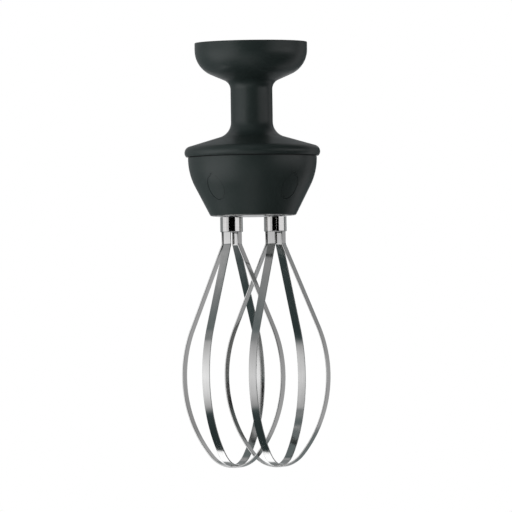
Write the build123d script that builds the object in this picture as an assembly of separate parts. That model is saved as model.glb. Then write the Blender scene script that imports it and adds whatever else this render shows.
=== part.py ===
from build123d import *
import math
import os

# Twin balloon whisk head for a stick blender. All lengths are in millimetres and all angles in degrees.
# The origin is the centre of the collar's mouth, where the motor unit enters. +Z points up into the motor
# unit and the whisks hang down along -Z, side by side along X. The front of the head faces -Y.

# Collar, neck and flange of the upper housing
COLLAR_D = 67.6
COLLAR_STRAIGHT = 4.5
COLLAR_ROUND = 16.0
COLLAR_TURN = 66.5
COLLAR_RIM_ROUND = 0.4
NECK_D = 25.2
NECK_TOP_FILLET = 6.0
NECK_FOOT_FILLET = 9.3
LIP_D = 81.5
LIP_ROUND = 3.85
LIP_DROP = 2.5
FLANGE_SLOPE = 16.4
HOUSING_HEIGHT = 68.4
HOUSING_WALL = 3.0

# Socket for the motor unit and its two twist-lock slots
SOCKET_WALL = 4.3
SOCKET_DEPTH = 10.0
SHOULDER = 3.5
WELL_WALL = 3.5
WELL_FLOOR_DEPTH = 17.5
TROUGH_R = 16.0
SEAL_BOSS_R = 13.5
SLOT_COUNT = 2
SLOT_WIDTH = 7.0
SLOT_CUT = 1.6
SLOT_DROP = 7.2
SLOT_HEIGHT = 3.6
SLOT_RUN = 20.0

# Gear case, the bowl under the flange
CASE_GAP = 0.6
CASE_R = 38.7
CASE_RIM = 0.5
CASE_ROUND = 37.0
CASE_TAPER = 27.0
CASE_HEIGHT = 35.0
CASE_WALL = 2.7
CASE_FLOOR = 5.0
CASE_EDGE_ROUND = 1.0
GASKET_OVERLAP = 2.2
GASKET_INSET = 0.8

# Case screws in their vertical wells, each closed by an oval cap on a stem
SCREW_INSET = 4.75
SCREW_AZIMUTH = 41.0
SCREW_WELL_R = 3.5
SCREW_BOSS_R = 5.2
SCREW_SEAT_DEPTH = 7.5
SCREW_HEAD_R = 3.2
SCREW_HEAD_H = 2.6
SCREW_R = 1.95
SCREW_BITE = 5.2
SCREW_RECESS_R = 1.6
SCREW_RECESS_DEPTH = 1.5
CAP_HALF_WIDTH = 5.7
CAP_HALF_LENGTH = 7.9
CAP_T = 1.6
CAP_REACH = 3.0
PLUG_GAP = 0.2
PLUG_SINK = 0.15

# Gear plate that carries the upper ends of the shafts
PLATE_INSET = 5.0
PLATE_T = 3.0
PLATE_LEDGE = 2.0
PLATE_BOSS_R = 8.4
PLATE_BOSS_H = 8.0
PLATE_SCREW_INSET = 5.0
PLATE_SCREW_AZIMUTHS = (30.0, 150.0, 270.0)
PLATE_SCREW_R = 1.45
PLATE_SCREW_HEAD_R = 2.8
PLATE_SCREW_LENGTH = 7.0
PLATE_POST_R = 3.5

# Gear train: pinion on the drive shaft, compound idler, and two whisk gears that mesh with each other
PRESSURE_ANGLE = 25.0
BACKLASH = 0.12
ADDENDUM = 1.0
DEDENDUM = 1.25
FAST_MODULE = 0.75
DRIVE_TEETH = 12
IDLER_TEETH = 36
SLOW_MODULE = 1.25
PINION_TEETH = 12
WHISK_TEETH = 21
FAST_GEAR_DROP = 1.6
FAST_GEAR_FACE = 5.2
SLOW_GEAR_FACE = 8.0
STAGE_GAP = 1.4

# Drive line
SHAFT_R = 4.0
SHAFT_STUB_R = 2.4
STUB_FLAT = 1.9
COUPLING_DROP = 0.8
COUPLING_R = 9.0
COUPLING_HEAD_H = 5.7
COUPLING_HUB_R = 6.0
COUPLING_HUB_H = 7.8
COUPLING_HEX = 9.0
COUPLING_HEX_DEPTH = 6.5
COUPLING_WEB = 1.0
COUPLING_PIN_R = 1.25
COUPLING_PIN_LIFT = 3.0
SEAL_R = 9.5
SEAL_T = 3.0
HUB_CLEARANCE = 1.0
SHAFT_BUSH_R = 6.5
SHAFT_BUSH_L = 8.4
NECK_BORE_R = 9.0
LOWER_BUSH_R = 6.0
CLIP_R = 6.2
CLIP_T = 0.8
CLIP_GROOVE = 0.6
CLIP_OPENING = 5.0

# Idler axle and the idler's hub
AXLE_R = 2.5
IDLER_HUB_R = 4.2
AXLE_BOSS_R = 4.5
AXLE_SEAT = 6.0

# Whisk spindles and their bearings
SPINDLE_R = 4.0
SPINDLE_FLAT = 3.4
GEAR_HUB_R = 5.4
JOURNAL_R = 3.5
TAIL_R = 3.0
TAIL_FLAT = 2.5
TAIL_L = 7.6
BUSH_R = 5.5
BUSH_FLANGE_R = 7.2
BUSH_FLANGE_T = 1.2
SPINDLE_BOSS_R = 7.5
SPINDLE_SEAL_R = 6.5
SPINDLE_SEAL_T = 2.4

# Bottom plate
BOTTOM_INSET = 3.15
BOTTOM_T = 1.2
BOTTOM_PROUD = 0.3
BOTTOM_HOLE_R = 5.0
BOTTOM_SCREW_INSET = 6.5
BOTTOM_SCREW_R = 1.2
BOTTOM_SCREW_HEAD_R = 2.4
BOTTOM_SCREW_LENGTH = 4.4

# Whisk heads: ferrule, slotted hub and two crossed strip loops
FERRULE_R = 6.8
FERRULE_WALL = 0.5
FERRULE_H = 9.0
FERRULE_EDGE_ROUND = 0.4
FERRULE_TO_PLATE = 0.5
HUB_LIP = 0.4
STRIP_W = 5.0
STRIP_T = 0.8
STRIP_SEAT_R = 4.9
STRIP_TUCK = 8.2
STRIP_TAB = 6.8
STRIP_BEND = 2.4
STRIP_SPREAD = 24.0
LOOP_R = 33.8
LOOP_WIDEST = 200.3
LOOP_TIP = 255.2
LOOP_TIP_ROUND = 21.0
LEFT_TURN = -29.0
RIGHT_TURN = -26.0

# Clearances
PRESS_GAP = 0.02
RUN_GAP = 0.04
SEAT_GAP = 0.2
END_FLOAT = 0.3

# Levels along Z, from the mouth down
housing_foot = -HOUSING_HEIGHT
plate_top = housing_foot + PLATE_T
case_top = housing_foot - CASE_GAP
case_foot = case_top - CASE_HEIGHT
floor_top = case_foot + CASE_FLOOR
fast_top = housing_foot - FAST_GEAR_DROP
fast_foot = fast_top - FAST_GEAR_FACE
slow_top = fast_foot - STAGE_GAP
slow_foot = slow_top - SLOW_GEAR_FACE
boss_top = slow_foot - END_FLOAT - BUSH_FLANGE_T
bush_face = housing_foot - BUSH_FLANGE_T
bottom_foot = case_foot - BOTTOM_PROUD
ferrule_top = bottom_foot - FERRULE_TO_PLATE
ferrule_foot = ferrule_top - FERRULE_H
well_top = -SOCKET_DEPTH
well_floor = -WELL_FLOOR_DEPTH
seal_foot = well_floor - SEAL_T
coupling_top = well_top - COUPLING_DROP
coupling_head_foot = coupling_top - COUPLING_HEAD_H
coupling_foot = coupling_head_foot - COUPLING_HUB_H
shaft_top = coupling_top - COUPLING_HEX_DEPTH - COUPLING_WEB
bush_top = coupling_foot - END_FLOAT
bush_foot = bush_top - SHAFT_BUSH_L
clip_top = bush_foot - END_FLOAT
shaft_foot = housing_foot - END_FLOAT
screw_seat = case_top - SCREW_SEAT_DEPTH

# Radii that follow from the collar and the gear case
socket_r = COLLAR_D / 2 - SOCKET_WALL
screw_circle_r = CASE_R - SCREW_INSET
plate_r = screw_circle_r - PLATE_INSET
plate_screw_circle_r = plate_r - PLATE_SCREW_INSET
gasket_inner_r = plate_r + GASKET_OVERLAP
case_taper = math.radians(CASE_TAPER)
case_straight = CASE_HEIGHT - CASE_RIM - CASE_ROUND * math.sin(case_taper)
case_foot_r = CASE_R - CASE_ROUND * (1 - math.cos(case_taper)) - case_straight * math.tan(case_taper)
bottom_r = case_foot_r - BOTTOM_INSET
bottom_screw_y = bottom_r - BOTTOM_SCREW_INSET

# Places in plan
whisk_offset = SLOW_MODULE * WHISK_TEETH / 2
idler_offset = FAST_MODULE * (DRIVE_TEETH + IDLER_TEETH) / 2
idler_to_whisk = SLOW_MODULE * (PINION_TEETH + WHISK_TEETH) / 2
# The idler sits behind the drive shaft, nearer the left whisk, so that it misses the right whisk gear.
idler_cosine = (idler_to_whisk**2 - idler_offset**2 - whisk_offset**2) / (2 * idler_offset * whisk_offset)
idler_bearing = math.degrees(math.acos(idler_cosine))


def around(radius, azimuth):
    """The point at that radius and azimuth about the head's axis."""
    return (radius * math.cos(math.radians(azimuth)), radius * math.sin(math.radians(azimuth)))


IDLER_AT = around(idler_offset, idler_bearing)
LEFT_AT = (-whisk_offset, 0.0)
RIGHT_AT = (whisk_offset, 0.0)
# A pair of case screws flanks the front of the head, and a pair the back.
SCREWS_AT = [
    around(screw_circle_r, middle + side * SCREW_AZIMUTH)
    for middle in (-90, 90)
    for side in (-1, 1)
]
PLATE_SCREWS_AT = [around(plate_screw_circle_r, azimuth) for azimuth in PLATE_SCREW_AZIMUTHS]
BOTTOM_SCREWS_AT = [(0.0, bottom_screw_y), (0.0, -bottom_screw_y)]


def rod(radius, top, foot, at=(0.0, 0.0)):
    """An upright cylinder between two levels."""
    return Pos(at[0], at[1], (top + foot) / 2) * Cylinder(radius, top - foot)


def flatted_rod(radius, flat, top, foot, at=(0.0, 0.0)):
    """An upright cylinder with two flats, each that far from its axis."""
    flats = Pos(at[0], at[1], (top + foot) / 2) * Box(2 * radius, 2 * flat, top - foot)
    return rod(radius, top, foot, at) & flats


def ring(outer, inner, top, foot, at=(0.0, 0.0)):
    """An upright tube between two levels."""
    return rod(outer, top, foot, at) - rod(inner, top, foot, at)


def cone(top_radius, foot_radius, top, foot, at=(0.0, 0.0)):
    """An upright cone between two levels."""
    return Pos(at[0], at[1], (top + foot) / 2) * Cone(foot_radius, top_radius, top - foot)


def turned(*points):
    """A solid of revolution from the corners of its outline in (radius, level)."""
    return revolve(Plane.XZ * make_face(Polyline(*points, close=True)), Axis.Z)


def round_corner(face, point, radius):
    """A flat outline with the corner nearest a point rounded off."""
    corner = face.vertices().sort_by_distance(Vector(*point))[0]
    return fillet(corner, radius)


# Gears

def involute(angle):
    return math.tan(angle) - angle


def gear_outline(teeth, module, phase):
    """A spur gear's outline, with each flank an arc through three points of its involute."""
    pressure = math.radians(PRESSURE_ANGLE)
    pitch_r = module * teeth / 2
    base_r = pitch_r * math.cos(pressure)
    tip_r = pitch_r + ADDENDUM * module
    root_r = pitch_r - DEDENDUM * module
    flank_r = max(root_r, base_r)
    half_tooth = (math.pi * module / 2 - BACKLASH) / (2 * pitch_r)

    def half_angle(radius):
        return half_tooth + involute(pressure) - involute(math.acos(base_r / radius))

    def at(radius, angle):
        return (radius * math.cos(angle), radius * math.sin(angle))

    radii = (flank_r, (flank_r + tip_r) / 2, tip_r)
    edges = []
    for tooth in range(teeth):
        centre = math.radians(phase) + tooth * math.tau / teeth
        rising = [at(r, centre - half_angle(r)) for r in radii]
        falling = [at(r, centre + half_angle(r)) for r in reversed(radii)]
        root_in = at(root_r, centre - half_angle(flank_r))
        root_out = at(root_r, centre + half_angle(flank_r))
        next_in = at(root_r, centre + math.tau / teeth - half_angle(flank_r))
        if flank_r > root_r:
            edges += [Line(root_in, rising[0]), Line(falling[2], root_out)]
        edges += [
            ThreePointArc(*rising),
            Line(rising[2], falling[0]),
            ThreePointArc(*falling),
            Line(root_out, next_in),
        ]
    return make_face(edges)


def spur_gear(teeth, module, phase, top, foot, at):
    """A plain spur gear between two levels, with a tooth at the phase angle."""
    return Pos(at[0], at[1], foot) * extrude(gear_outline(teeth, module, phase), top - foot)


def meshing_phase(phase, teeth, other_teeth, bearing):
    """The phase of a gear that meshes with another gear, seen from that one along a bearing."""
    share = (bearing - phase) * teeth / 360
    return bearing + 180 - (0.5 - share) * 360 / other_teeth


IDLER_PHASE = 0.0
drive_phase = meshing_phase(IDLER_PHASE, IDLER_TEETH, DRIVE_TEETH, idler_bearing + 180)
left_bearing = math.degrees(math.atan2(LEFT_AT[1] - IDLER_AT[1], LEFT_AT[0] - IDLER_AT[0]))
left_phase = meshing_phase(IDLER_PHASE, PINION_TEETH, WHISK_TEETH, left_bearing)
right_phase = meshing_phase(left_phase, WHISK_TEETH, WHISK_TEETH, 0.0)


# Housings

def housing_outline():
    """Half of the upper housing's outside: collar, round, neck, flange and its rolled lip."""
    turn = math.radians(COLLAR_TURN)
    slope = math.radians(FLANGE_SLOPE)
    collar_r, neck_r, lip_r = COLLAR_D / 2, NECK_D / 2, LIP_D / 2
    round_r = collar_r - COLLAR_ROUND
    mid = (round_r + COLLAR_ROUND * math.cos(turn / 2), -COLLAR_STRAIGHT - COLLAR_ROUND * math.sin(turn / 2))
    end = (round_r + COLLAR_ROUND * math.cos(turn), -COLLAR_STRAIGHT - COLLAR_ROUND * math.sin(turn))
    neck_top = (neck_r, end[1] - (end[0] - neck_r) / math.tan(turn))
    lip_centre = (lip_r - LIP_ROUND, housing_foot + LIP_DROP)
    lip_start = (lip_centre[0] + LIP_ROUND * math.sin(slope), lip_centre[1] + LIP_ROUND * math.cos(slope))
    lip_end = (lip_centre[0] + math.sqrt(LIP_ROUND**2 - LIP_DROP**2), housing_foot)
    neck_foot = (neck_r, lip_start[1] + (lip_start[0] - neck_r) * math.tan(slope))
    outline = make_face(
        [
            Line((0, 0), (collar_r, 0)),
            Line((collar_r, 0), (collar_r, -COLLAR_STRAIGHT)),
            ThreePointArc((collar_r, -COLLAR_STRAIGHT), mid, end),
            Line(end, neck_top),
            Line(neck_top, neck_foot),
            Line(neck_foot, lip_start),
            ThreePointArc(lip_start, (lip_r, lip_centre[1]), lip_end),
            Line(lip_end, (0, housing_foot)),
            Line((0, housing_foot), (0, 0)),
        ]
    )
    outline = round_corner(outline, neck_top, NECK_TOP_FILLET)
    outline = round_corner(outline, neck_foot, NECK_FOOT_FILLET)
    outline = round_corner(outline, (collar_r, 0), COLLAR_RIM_ROUND)
    return outline


def flange_roof(radius):
    """The level of the hollow's roof under the flange, one wall below the flange's slope."""
    slope = math.radians(FLANGE_SLOPE)
    lip_start = LIP_D / 2 - LIP_ROUND + LIP_ROUND * math.sin(slope)
    lip_level = housing_foot + LIP_DROP + LIP_ROUND * math.cos(slope)
    return lip_level + (lip_start - radius) * math.tan(slope) - HOUSING_WALL / math.cos(slope)


def collar_floor(radius):
    """The level of the well's sloped floor, one wall above the collar's underside."""
    turn = math.radians(COLLAR_TURN)
    round_end_r = COLLAR_D / 2 - COLLAR_ROUND * (1 - math.cos(turn))
    round_end = -COLLAR_STRAIGHT - COLLAR_ROUND * math.sin(turn)
    return round_end - (round_end_r - radius) / math.tan(turn) + WELL_WALL / math.sin(turn)


def twist_slots():
    """Two L-shaped slots in the socket's wall, each with a way in from the rim and a short run round."""
    outer = socket_r + SLOT_CUT
    entry_turn = math.degrees(SLOT_WIDTH / socket_r)
    slots = []
    for number in range(SLOT_COUNT):
        start = number * 360 / SLOT_COUNT + 90 - entry_turn / 2
        entry = Pos(0, 0, -SLOT_DROP) * Cylinder(
            outer, SLOT_DROP, arc_size=entry_turn, align=(Align.CENTER, Align.CENTER, Align.MIN)
        )
        run = Pos(0, 0, -SLOT_DROP) * Cylinder(
            outer, SLOT_HEIGHT, arc_size=entry_turn + SLOT_RUN, align=(Align.CENTER, Align.CENTER, Align.MIN)
        )
        slots += [Rot(0, 0, start) * entry, Rot(0, 0, start) * run]
    return slots


def upper_housing():
    """Collar, neck and flange in one moulding, hollow from both ends."""
    well_r = socket_r - SHOULDER
    ledge_r = plate_r - PLATE_LEDGE
    trough = collar_floor(TROUGH_R)
    socket = rod(socket_r, 0, well_top)
    well = turned(
        (0, well_top),
        (well_r, well_top),
        (well_r, collar_floor(well_r)),
        (TROUGH_R, trough),
        (SEAL_BOSS_R, trough),
        (SEAL_BOSS_R, well_floor),
        (0, well_floor),
    )
    hollow = turned(
        (0, bush_foot),
        (NECK_BORE_R, bush_foot),
        (NECK_BORE_R, flange_roof(NECK_BORE_R)),
        (ledge_r, flange_roof(ledge_r)),
        (ledge_r, plate_top),
        (plate_r + SEAT_GAP, plate_top),
        (plate_r + SEAT_GAP, housing_foot),
        (0, housing_foot),
    )
    for at in PLATE_SCREWS_AT:
        hollow -= rod(PLATE_POST_R, 0, plate_top, at)
    body = revolve(Plane.XZ * housing_outline(), Axis.Z)
    body -= [socket, well, hollow]
    body -= twist_slots()
    body -= rod(SEAL_R, well_floor, seal_foot)
    body -= rod(COUPLING_HUB_R + HUB_CLEARANCE, seal_foot, bush_top)
    body -= rod(SHAFT_BUSH_R + PRESS_GAP, bush_top, bush_foot)
    for at in SCREWS_AT:
        body -= rod(SCREW_R + PRESS_GAP, housing_foot + SCREW_BITE + SEAT_GAP, housing_foot, at)
    for at in PLATE_SCREWS_AT:
        body -= rod(PLATE_SCREW_R + PRESS_GAP, housing_foot + PLATE_SCREW_LENGTH + SEAT_GAP, plate_top, at)
    return body


def case_solid(inset, foot):
    """The gear case's bowl form, set in from its outside by a wall, down to a level."""
    round_top = case_top - CASE_RIM
    centre_r = CASE_R - CASE_ROUND
    radius = CASE_ROUND - inset

    def on_round(angle):
        return (centre_r + radius * math.cos(angle), round_top - radius * math.sin(angle))

    start, mid, end = on_round(0), on_round(case_taper / 2), on_round(case_taper)
    foot_point = (end[0] - (end[1] - foot) * math.tan(case_taper), foot)
    outline = make_face(
        [
            Line((0, case_top), (start[0], case_top)),
            Line((start[0], case_top), start),
            ThreePointArc(start, mid, end),
            Line(end, foot_point),
            Line(foot_point, (0, foot)),
            Line((0, foot), (0, case_top)),
        ]
    )
    if inset == 0:
        outline = round_corner(outline, foot_point, CASE_EDGE_ROUND)
    return revolve(Plane.XZ * outline, Axis.Z)


def gear_case():
    """The bowl, with bosses for the case screws, the spindle bushes and the idler axle."""
    outside = case_solid(0, case_foot)
    hollow = case_solid(CASE_WALL, floor_top)
    for at in SCREWS_AT:
        hollow -= rod(SCREW_BOSS_R, case_top, floor_top, at)
    for at in (LEFT_AT, RIGHT_AT):
        hollow -= rod(SPINDLE_BOSS_R, boss_top, floor_top, at)
    hollow -= rod(AXLE_BOSS_R, boss_top, floor_top, IDLER_AT)
    body = outside - hollow
    for at in SCREWS_AT:
        body -= rod(SCREW_WELL_R, screw_seat, case_foot, at)
        body -= rod(SCREW_R + SEAT_GAP, case_top, screw_seat, at)
        body -= cap_form(at, PLUG_GAP)
    recess_top = bottom_foot + BOTTOM_T
    body -= rod(bottom_r + SEAT_GAP, recess_top, case_foot)
    for at in (LEFT_AT, RIGHT_AT):
        body -= rod(BUSH_R + PRESS_GAP, boss_top, recess_top, at)
        body -= rod(SPINDLE_SEAL_R + PRESS_GAP, recess_top + SPINDLE_SEAL_T, recess_top, at)
    body -= rod(AXLE_R + PRESS_GAP, boss_top, boss_top - AXLE_SEAT, IDLER_AT)
    for at in BOTTOM_SCREWS_AT:
        body -= rod(BOTTOM_SCREW_R + PRESS_GAP, bottom_foot + BOTTOM_SCREW_LENGTH + SEAT_GAP, recess_top, at)
    return body


def case_gasket():
    """The flat rubber ring in the joint between the flange and the gear case."""
    body = ring(CASE_R - GASKET_INSET, gasket_inner_r, housing_foot, case_top)
    for at in SCREWS_AT:
        body -= rod(SCREW_R + SEAT_GAP, housing_foot, case_top, at)
    return body


def case_screws():
    """Four pan head screws that pull the gear case up against the flange."""
    screws = []
    for at in SCREWS_AT:
        head_foot = screw_seat - SCREW_HEAD_H
        screw = rod(SCREW_HEAD_R, screw_seat, head_foot, at)
        screw += rod(SCREW_R, housing_foot + SCREW_BITE, screw_seat, at)
        recess = extrude(RegularPolygon(SCREW_RECESS_R, 6), SCREW_RECESS_DEPTH)
        screws.append(screw - Pos(at[0], at[1], head_foot) * recess)
    return Compound(screws)


def cap_form(at, grow=0.0):
    """An oval column square to the gear case's wall, where a screw's axis comes out of it."""
    outward = Vector(*at).normalized()
    taper_top = CASE_R - CASE_ROUND * (1 - math.cos(case_taper))
    level = case_foot + case_straight - (taper_top - screw_circle_r) / math.tan(case_taper)
    wall = Plane(
        origin=(at[0], at[1], level),
        x_dir=(-outward.Y, outward.X, 0),
        z_dir=outward * math.cos(case_taper) - Vector(0, 0, math.sin(case_taper)),
    )
    oval = Ellipse(CAP_HALF_WIDTH + grow, CAP_HALF_LENGTH + grow)
    return wall * Pos(0, 0, -CAP_T - grow) * extrude(oval, CAP_T + grow + CAP_REACH)


def screw_plugs():
    """Four oval caps with stems up the screw wells, cut to the gear case's slope and a little sunk in it."""
    bowl = case_solid(PLUG_SINK, case_foot)
    top = screw_seat - SCREW_HEAD_H - SEAT_GAP
    plugs = []
    for at in SCREWS_AT:
        stem = rod(SCREW_WELL_R - PLUG_GAP, top, case_foot, at)
        plugs.append((stem + cap_form(at)) & bowl)
    return Compound(plugs)


# Gear plate and bearings

def gear_plate():
    """The round plate under the flange, with a boss for the drive shaft's lower bush."""
    body = rod(plate_r, plate_top, housing_foot) + rod(PLATE_BOSS_R, plate_top + PLATE_BOSS_H, plate_top)
    body -= rod(LOWER_BUSH_R + PRESS_GAP, plate_top + PLATE_BOSS_H, housing_foot)
    for at in (LEFT_AT, RIGHT_AT):
        body -= rod(BUSH_R + PRESS_GAP, plate_top, housing_foot, at)
    body -= rod(AXLE_R + PRESS_GAP, plate_top, housing_foot, IDLER_AT)
    for at in PLATE_SCREWS_AT:
        body -= plate_screw(at, SEAT_GAP)
    return body


def flush_screw(at, head_level, radius, head_radius, length, grow=0.0):
    """A countersunk screw that goes up from its head, or the hole for it if it is grown."""
    head_top = head_level + head_radius - radius
    body = cone(radius + grow, head_radius + grow, head_top, head_level, at)
    return body + rod(radius + grow, head_level + length, head_level, at)


def plate_screw(at, grow=0.0):
    return flush_screw(at, housing_foot, PLATE_SCREW_R, PLATE_SCREW_HEAD_R, PLATE_SCREW_LENGTH, grow)


def gear_plate_screws():
    return Compound([plate_screw(at) for at in PLATE_SCREWS_AT])


def upper_shaft_bush():
    return ring(SHAFT_BUSH_R, SHAFT_R + RUN_GAP, bush_top, bush_foot)


def lower_shaft_bush():
    return ring(LOWER_BUSH_R, SHAFT_R + RUN_GAP, plate_top + PLATE_BOSS_H, housing_foot)


def drive_seal():
    """The rubber seal round the coupling's hub, in the socket's floor."""
    return ring(SEAL_R - PRESS_GAP, COUPLING_HUB_R + RUN_GAP, well_floor, seal_foot)


def spindle_upper_bush(at):
    """A short flanged bronze bush in the gear plate, with its flange underneath."""
    body = rod(BUSH_R, plate_top, housing_foot, at) + rod(BUSH_FLANGE_R, housing_foot, bush_face, at)
    return body - rod(JOURNAL_R + RUN_GAP, plate_top, bush_face, at)


def spindle_lower_bush(at):
    """A flanged bronze bush in the gear case's boss; the whisk gear turns on its flange."""
    foot = bottom_foot + BOTTOM_T + SPINDLE_SEAL_T
    body = rod(BUSH_R, boss_top, foot, at) + rod(BUSH_FLANGE_R, boss_top + BUSH_FLANGE_T, boss_top, at)
    return body - rod(SPINDLE_R + RUN_GAP, boss_top + BUSH_FLANGE_T, foot, at)


def spindle_seal(at):
    recess_top = bottom_foot + BOTTOM_T
    return ring(SPINDLE_SEAL_R, SPINDLE_R + RUN_GAP, recess_top + SPINDLE_SEAL_T, recess_top, at)


def bottom_screw(at, grow=0.0):
    return flush_screw(at, bottom_foot, BOTTOM_SCREW_R, BOTTOM_SCREW_HEAD_R, BOTTOM_SCREW_LENGTH, grow)


def bottom_plate():
    """The thin steel disc that closes the gear case and holds the spindle seals in."""
    body = rod(bottom_r, bottom_foot + BOTTOM_T, bottom_foot)
    for at in (LEFT_AT, RIGHT_AT):
        body -= rod(BOTTOM_HOLE_R, bottom_foot + BOTTOM_T, bottom_foot, at)
    for at in BOTTOM_SCREWS_AT:
        body -= bottom_screw(at, PRESS_GAP)
    return body


def bottom_plate_screws():
    return Compound([bottom_screw(at) for at in BOTTOM_SCREWS_AT])


# Drive line

def drive_coupling():
    """The dog in the socket's floor, with a hexagon socket for the motor's output and a hub on the shaft."""
    body = rod(COUPLING_R, coupling_top, coupling_head_foot)
    body += rod(COUPLING_HUB_R, coupling_head_foot, coupling_foot)
    hexagon = RegularPolygon(COUPLING_HEX / 2, 6, major_radius=False)
    body -= Pos(0, 0, coupling_top) * extrude(hexagon, -COUPLING_HEX_DEPTH)
    body -= rod(SHAFT_R + PRESS_GAP, shaft_top, coupling_foot)
    return body - coupling_pin(PRESS_GAP)


def coupling_pin(grow=0.0):
    """The cross pin that locks the coupling on the shaft."""
    pin = Cylinder(COUPLING_PIN_R + grow, 2 * COUPLING_HUB_R)
    bound = rod(COUPLING_HUB_R, coupling_head_foot, coupling_foot)
    return Pos(0, 0, coupling_foot + COUPLING_PIN_LIFT) * Rot(0, 90, 0) * pin & bound


def drive_shaft():
    """The shaft down the neck, with a groove for its clip and a thin end for the pinion."""
    body = rod(SHAFT_R, shaft_top, shaft_foot)
    body += flatted_rod(SHAFT_STUB_R, STUB_FLAT, shaft_foot, fast_foot)
    groove_foot = clip_top - CLIP_T - SEAT_GAP
    body -= ring(SHAFT_R, SHAFT_R - CLIP_GROOVE, clip_top, groove_foot)
    return body - coupling_pin(PRESS_GAP)


def shaft_clip():
    """The open spring ring under the upper bush that stops the shaft from lifting out."""
    clip_foot = clip_top - CLIP_T
    body = ring(CLIP_R, SHAFT_R - CLIP_GROOVE + PRESS_GAP, clip_top, clip_foot)
    opening = Pos(CLIP_R / 2, 0, (clip_top + clip_foot) / 2) * Box(CLIP_R, CLIP_OPENING, CLIP_T)
    return body - opening


def drive_pinion():
    body = spur_gear(DRIVE_TEETH, FAST_MODULE, drive_phase, fast_top, fast_foot, (0.0, 0.0))
    return body - flatted_rod(SHAFT_STUB_R + PRESS_GAP, STUB_FLAT + PRESS_GAP, fast_top, fast_foot)


def idler_gear():
    """The compound idler: a large gear for the drive pinion over a small one for the left whisk gear."""
    body = spur_gear(IDLER_TEETH, FAST_MODULE, IDLER_PHASE, fast_top, fast_foot, IDLER_AT)
    body += spur_gear(PINION_TEETH, SLOW_MODULE, IDLER_PHASE, fast_foot, slow_foot, IDLER_AT)
    hub_top, hub_foot = housing_foot - END_FLOAT, boss_top + END_FLOAT
    body += rod(IDLER_HUB_R, hub_top, fast_top, IDLER_AT) + rod(IDLER_HUB_R, slow_foot, hub_foot, IDLER_AT)
    return body - rod(AXLE_R + RUN_GAP, hub_top, hub_foot, IDLER_AT)


def idler_axle():
    return rod(AXLE_R, plate_top, boss_top - AXLE_SEAT, IDLER_AT)


# Whisks

def whisk_gear(at, phase):
    """The gear on a spindle's flats, with a hub that reaches up to the bush in the gear plate."""
    hub_top = bush_face - END_FLOAT
    body = spur_gear(WHISK_TEETH, SLOW_MODULE, phase, slow_top, slow_foot, at)
    body += rod(GEAR_HUB_R, hub_top, slow_top, at)
    return body - flatted_rod(SPINDLE_R + PRESS_GAP, SPINDLE_FLAT + PRESS_GAP, hub_top, slow_foot, at)


def whisk_spindle(at):
    """The steel spindle from the gear plate down into the whisk's hub."""
    shoulder = bush_face - END_FLOAT
    body = rod(JOURNAL_R, plate_top, shoulder, at)
    body += flatted_rod(SPINDLE_R, SPINDLE_FLAT, shoulder, slow_foot, at)
    body += rod(SPINDLE_R, slow_foot, ferrule_top, at)
    return body + flatted_rod(TAIL_R, TAIL_FLAT, ferrule_top, ferrule_top - TAIL_L, at)


def strip_slots(at, turn):
    """The four flat slots round a hub that hold the ends of the strips."""
    slot = Box(2 * FERRULE_R, STRIP_W + 2 * PRESS_GAP, FERRULE_H)
    slot = Pos(STRIP_SEAT_R - PRESS_GAP + FERRULE_R, 0, ferrule_top - FERRULE_H / 2) * slot
    return [Pos(at[0], at[1], 0) * Rot(0, 0, turn + 90 * side) * slot for side in range(4)]


def whisk_hub(at, turn):
    """The slotted plug that wedges the strips against the inside of the ferrule."""
    foot = ferrule_foot + HUB_LIP
    body = rod(FERRULE_R - FERRULE_WALL - PRESS_GAP, ferrule_top, foot, at)
    body -= flatted_rod(TAIL_R + PRESS_GAP, TAIL_FLAT + PRESS_GAP, ferrule_top, ferrule_top - TAIL_L, at)
    return body - strip_slots(at, turn)


def whisk_ferrule(at):
    body = ring(FERRULE_R, FERRULE_R - FERRULE_WALL, ferrule_top, ferrule_foot, at)
    rims = body.edges().filter_by(GeomType.CIRCLE).sort_by(SortBy.RADIUS)[-2:]
    return fillet(rims.sort_by(Axis.Z)[0], FERRULE_EDGE_ROUND)


def strip_line(tip, grow):
    """Half of a loop's line in (radius, level) from hub to tip, moved outwards by a growth."""
    spread = math.radians(STRIP_SPREAD)
    sin, cos = math.sin(spread), math.cos(spread)
    seat_r = STRIP_SEAT_R + STRIP_T / 2
    tab_top = ferrule_foot + STRIP_TUCK
    tab_foot = ferrule_foot - STRIP_TAB
    widest = -LOOP_WIDEST
    # The tab bends outwards, runs straight, and then curves over to the widest level.
    bend_r, bend_z = seat_r + STRIP_BEND * (1 - cos), tab_foot - STRIP_BEND * sin
    across, down = LOOP_R - bend_r, bend_z - widest
    shoulder = (down * sin - across * cos) / (1 - cos)
    # Below the widest level, one large round leads into the round of the tip.
    fall = widest - tip
    side = (LOOP_R**2 + fall**2 - 2 * fall * LOOP_TIP_ROUND) / (2 * (LOOP_R - LOOP_TIP_ROUND))
    side_r = LOOP_R - side
    turn = math.atan2(fall - LOOP_TIP_ROUND, -side_r)

    def arc(centre, radius, start, stop):
        points = []
        for angle in (start, (start + stop) / 2, stop):
            points.append((centre[0] + radius * math.cos(angle), centre[1] + radius * math.sin(angle)))
        return ThreePointArc(*points)

    bend = arc((seat_r + STRIP_BEND, tab_foot), STRIP_BEND - grow, math.pi, math.pi + spread)
    over = arc((LOOP_R - shoulder, widest), shoulder + grow, spread, 0.0)
    belly = arc((side_r, widest), side + grow, 0.0, -turn)
    nose = arc((0.0, tip + LOOP_TIP_ROUND), LOOP_TIP_ROUND + grow, -turn, -math.pi / 2)
    tab = Line((seat_r + grow, tab_top), bend @ 0)
    return [tab, bend, Line(bend @ 1, over @ 0), over, belly, nose]


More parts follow.
